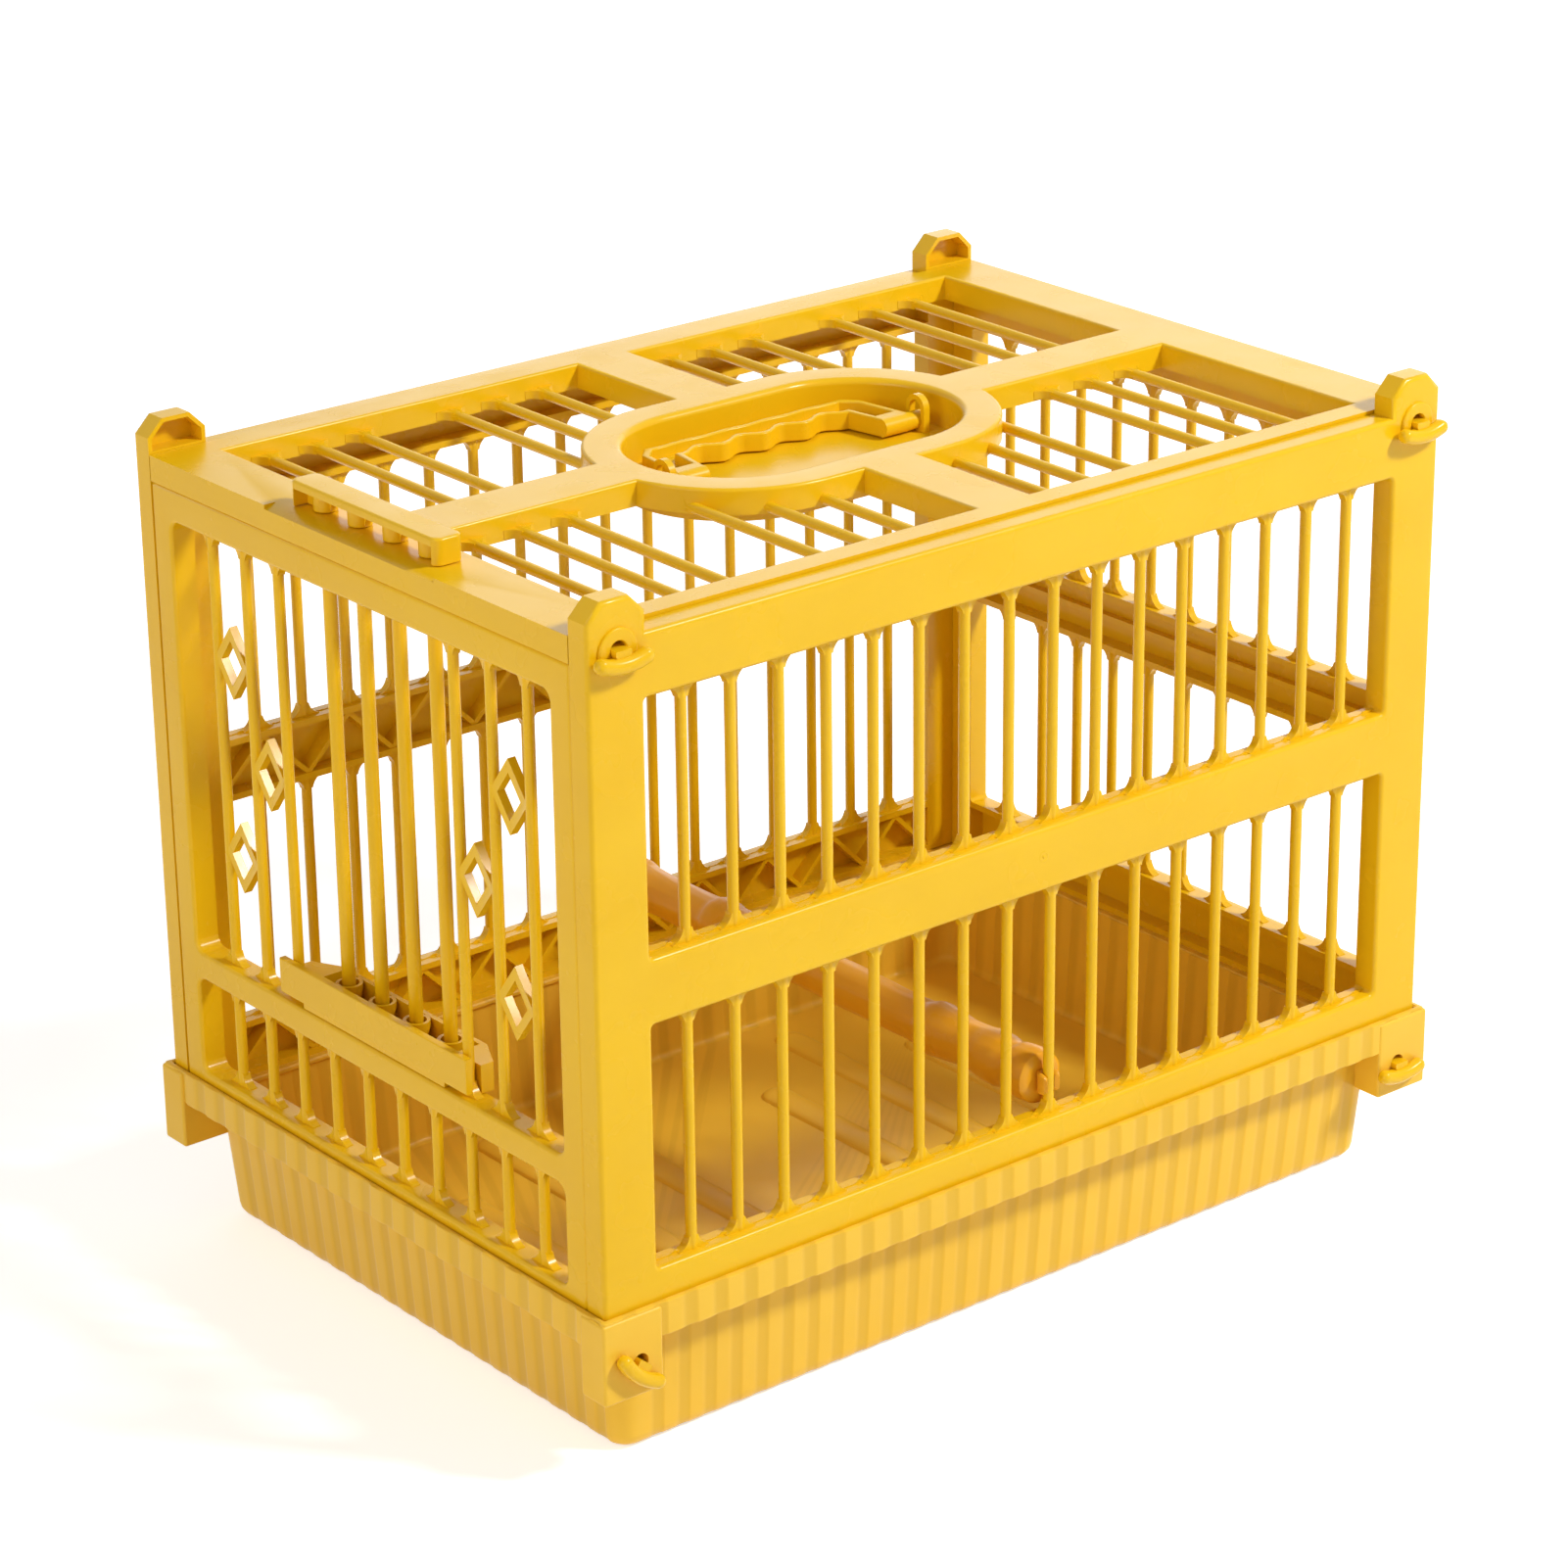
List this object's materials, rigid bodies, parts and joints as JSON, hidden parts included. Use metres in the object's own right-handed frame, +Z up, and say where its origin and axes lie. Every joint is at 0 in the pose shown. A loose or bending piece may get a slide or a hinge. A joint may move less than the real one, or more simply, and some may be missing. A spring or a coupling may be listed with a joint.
{
  "type": "bird travel carrier",
  "caption": "Barred moulded-plastic bird travel carrier with a lift gate, a fold-down carrying handle, a perch and a deep fluted tray, held together by turn-lock pins.",
  "frame": {"origin": "middle of the carrier's footprint, on the surface that its tray stands on", "axes": "+X from the gate end to the rear end, +Y from the front long side to the back long side, +Z up"},
  "size_m": [0.346, 0.249, 0.2764],
  "materials": {
    "panel_plastic": "glossy moulded yellow plastic",
    "tray_plastic": "semi-gloss moulded yellow plastic with fluted walls",
    "gate_plastic": "glossy moulded yellow plastic",
    "handle_plastic": "glossy moulded yellow plastic",
    "perch_plastic": "moulded yellow plastic with a bark-like surface",
    "pin_plastic": "glossy moulded yellow plastic"
  },
  "bodies": {
    "cage": {"tray": "tray_plastic", "side_panel_front": "panel_plastic", "side_panel_back": "panel_plastic", "gate_end_panel": "panel_plastic", "rear_end_panel": "panel_plastic", "top_panel": "panel_plastic", "perch": "perch_plastic"},
    "gate": {"gate_pull_bar": "gate_plastic", "gate_rod_1": "gate_plastic", "gate_rod_2": "gate_plastic", "gate_rod_3": "gate_plastic", "gate_rod_4": "gate_plastic", "gate_sill": "gate_plastic"},
    "handle": {"handle": "handle_plastic"},
    "lock_pin_top_front_gate": {"lock_pin_top_front_gate": "pin_plastic"},
    "lock_pin_top_front_rear": {"lock_pin_top_front_rear": "pin_plastic"},
    "lock_pin_top_back_gate": {"lock_pin_top_back_gate": "pin_plastic"},
    "lock_pin_top_back_rear": {"lock_pin_top_back_rear": "pin_plastic"},
    "lock_pin_leg_front_gate": {"lock_pin_leg_front_gate": "pin_plastic"},
    "lock_pin_leg_front_rear": {"lock_pin_leg_front_rear": "pin_plastic"},
    "lock_pin_leg_back_gate": {"lock_pin_leg_back_gate": "pin_plastic"},
    "lock_pin_leg_back_rear": {"lock_pin_leg_back_rear": "pin_plastic"}
  },
  "joints": [
    {"name": "gate_slide", "type": "slide", "parent": "cage", "child": "gate", "axis": [0, 0, 1], "range_m": [0, 0.131]},
    {"name": "handle_hinge", "type": "hinge", "parent": "cage", "child": "handle", "pos_m": [0, 0, 0.2572], "axis": [1, 0, 0], "range_deg": [0, 100]},
    {"name": "turn_top_front_gate", "type": "hinge", "parent": "cage", "child": "lock_pin_top_front_gate", "pos_m": [-0.1595, -0.117, 0.2614], "axis": [0, 1, 0], "range_deg": [0, 90]},
    {"name": "turn_top_front_rear", "type": "hinge", "parent": "cage", "child": "lock_pin_top_front_rear", "pos_m": [0.1595, -0.117, 0.2614], "axis": [0, 1, 0], "range_deg": [0, 90]},
    {"name": "turn_top_back_gate", "type": "hinge", "parent": "cage", "child": "lock_pin_top_back_gate", "pos_m": [-0.1595, 0.117, 0.2614], "axis": [0, -1, 0], "range_deg": [-55, 35]},
    {"name": "turn_top_back_rear", "type": "hinge", "parent": "cage", "child": "lock_pin_top_back_rear", "pos_m": [0.1595, 0.117, 0.2614], "axis": [0, -1, 0], "range_deg": [0, 90]},
    {"name": "turn_leg_front_gate", "type": "hinge", "parent": "cage", "child": "lock_pin_leg_front_gate", "pos_m": [-0.1595, -0.117, 0.0384], "axis": [0, 1, 0], "range_deg": [-40, 50]},
    {"name": "turn_leg_front_rear", "type": "hinge", "parent": "cage", "child": "lock_pin_leg_front_rear", "pos_m": [0.1595, -0.117, 0.0384], "axis": [0, 1, 0], "range_deg": [0, 90]},
    {"name": "turn_leg_back_gate", "type": "hinge", "parent": "cage", "child": "lock_pin_leg_back_gate", "pos_m": [-0.1595, 0.117, 0.0384], "axis": [0, -1, 0], "range_deg": [0, 90]},
    {"name": "turn_leg_back_rear", "type": "hinge", "parent": "cage", "child": "lock_pin_leg_back_rear", "pos_m": [0.1595, 0.117, 0.0384], "axis": [0, -1, 0], "range_deg": [0, 90]}
  ]
}
